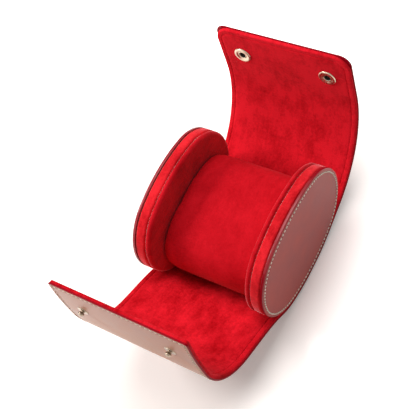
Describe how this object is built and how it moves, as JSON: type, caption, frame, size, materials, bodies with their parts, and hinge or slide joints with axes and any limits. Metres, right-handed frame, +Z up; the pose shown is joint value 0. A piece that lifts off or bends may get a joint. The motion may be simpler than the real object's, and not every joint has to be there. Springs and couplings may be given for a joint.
{
  "type": "watch travel case",
  "caption": "Open single-watch travel roll: soft two-flap wrap with snaps, two oval end caps and a lift-out pillow.",
  "frame": {"origin": "middle of the flat underside, midway between the end caps", "axes": "+X along the roll, +Y from the front flap to the rear flap, +Z up"},
  "size_m": [0.1018, 0.2159, 0.1236],
  "materials": {
    "leather": "smooth semi-gloss grained leather",
    "suede": "brushed microsuede with a short nap",
    "thread": "waxed sewing thread",
    "snap_metal": "polished pale gold",
    "board": "pressed card",
    "core_foam": "open foam"
  },
  "bodies": {
    "case": {"wrap_base_leather": "leather", "wrap_base_lining": "suede", "left_cap_leather": "leather", "left_cap_board": "board", "left_cap_core": "core_foam", "left_cap_band": "suede", "left_cap_pad": "suede", "left_cap_thread": "thread", "right_cap_leather": "leather", "right_cap_board": "board", "right_cap_core": "core_foam", "right_cap_band": "suede", "right_cap_pad": "suede", "right_cap_thread": "thread"},
    "front_strip_1": {"front_strip_1_leather": "leather", "front_strip_1_lining": "suede"},
    "front_strip_2": {"front_strip_2_leather": "leather", "front_strip_2_lining": "suede"},
    "front_strip_3": {"front_strip_3_leather": "leather", "front_strip_3_lining": "suede"},
    "front_strip_4": {"front_strip_4_leather": "leather", "front_strip_4_lining": "suede"},
    "front_flap": {"front_flap_leather": "leather", "front_flap_lining": "suede", "front_flap_thread": "thread", "snap_studs": "snap_metal", "stud_backs": "snap_metal"},
    "rear_strip_1": {"rear_strip_1_leather": "leather", "rear_strip_1_lining": "suede"},
    "rear_strip_2": {"rear_strip_2_leather": "leather", "rear_strip_2_lining": "suede"},
    "rear_strip_3": {"rear_strip_3_leather": "leather", "rear_strip_3_lining": "suede"},
    "rear_strip_4": {"rear_strip_4_leather": "leather", "rear_strip_4_lining": "suede"},
    "rear_strip_5": {"rear_strip_5_leather": "leather", "rear_strip_5_lining": "suede"},
    "rear_flap": {"rear_flap_leather": "leather", "rear_flap_lining": "suede", "rear_flap_thread": "thread", "snap_sockets": "snap_metal", "snap_buttons": "snap_metal"},
    "pillow": {"pillow_cover": "suede", "pillow_foam": "core_foam", "pillow_left_panel": "suede", "pillow_right_panel": "suede"}
  },
  "joints": [
    {"name": "front_panel_bend", "type": "hinge", "parent": "case", "child": "front_strip_1", "pos_m": [0, -0.04622, 0.01782], "axis": [-1, 0, 0], "range_deg": [0, 17.9]},
    {"name": "front_fold_2", "type": "hinge", "parent": "front_strip_1", "child": "front_strip_2", "pos_m": [0, -0.05308, 0.02194], "axis": [-1, 0, 0], "range_deg": [0, 17.9]},
    {"name": "front_fold_3", "type": "hinge", "parent": "front_strip_2", "child": "front_strip_3", "pos_m": [0, -0.06025, 0.02548], "axis": [-1, 0, 0], "range_deg": [0, 17.9]},
    {"name": "front_flap_bend", "type": "hinge", "parent": "front_strip_3", "child": "front_strip_4", "pos_m": [0, -0.06938, 0.02955], "axis": [-1, 0, 0], "range_deg": [0, 17.9]},
    {"name": "front_fold_5", "type": "hinge", "parent": "front_strip_4", "child": "front_flap", "pos_m": [0, -0.08034, 0.03443], "axis": [-1, 0, 0], "range_deg": [0, 17.9]},
    {"name": "rear_panel_bend", "type": "hinge", "parent": "case", "child": "rear_strip_1", "pos_m": [0, 0.03433, 0.0089], "axis": [1, 0, 0], "range_deg": [0, 14.2]},
    {"name": "rear_fold_2", "type": "hinge", "parent": "rear_strip_1", "child": "rear_strip_2", "pos_m": [0, 0.04201, 0.01114], "axis": [1, 0, 0], "range_deg": [0, 14.2]},
    {"name": "rear_middle_bend", "type": "hinge", "parent": "rear_strip_2", "child": "rear_strip_3", "pos_m": [0, 0.05525, 0.01563], "axis": [1, 0, 0], "range_deg": [0, 14.2]},
    {"name": "rear_fold_4", "type": "hinge", "parent": "rear_strip_3", "child": "rear_strip_4", "pos_m": [0, 0.06737, 0.02261], "axis": [1, 0, 0], "range_deg": [0, 14.2]},
    {"name": "rear_flap_bend", "type": "hinge", "parent": "rear_strip_4", "child": "rear_strip_5", "pos_m": [0, 0.09338, 0.06173], "axis": [1, 0, 0], "range_deg": [0, 16.5]},
    {"name": "rear_fold_6", "type": "hinge", "parent": "rear_strip_5", "child": "rear_flap", "pos_m": [0, 0.09499, 0.0726], "axis": [1, 0, 0], "range_deg": [0, 16.5]},
    {"name": "pillow_lift", "type": "slide", "parent": "case", "child": "pillow", "axis": [0, 0, -1], "range_m": [-0.09, 0]}
  ],
  "couplings": [
    {"joint": "front_fold_2", "follows": "front_panel_bend", "ratio": 1},
    {"joint": "front_fold_3", "follows": "front_panel_bend", "ratio": 1},
    {"joint": "front_fold_5", "follows": "front_flap_bend", "ratio": 1},
    {"joint": "rear_fold_2", "follows": "rear_panel_bend", "ratio": 1},
    {"joint": "rear_fold_4", "follows": "rear_middle_bend", "ratio": 1},
    {"joint": "rear_fold_6", "follows": "rear_flap_bend", "ratio": 1}
  ]
}
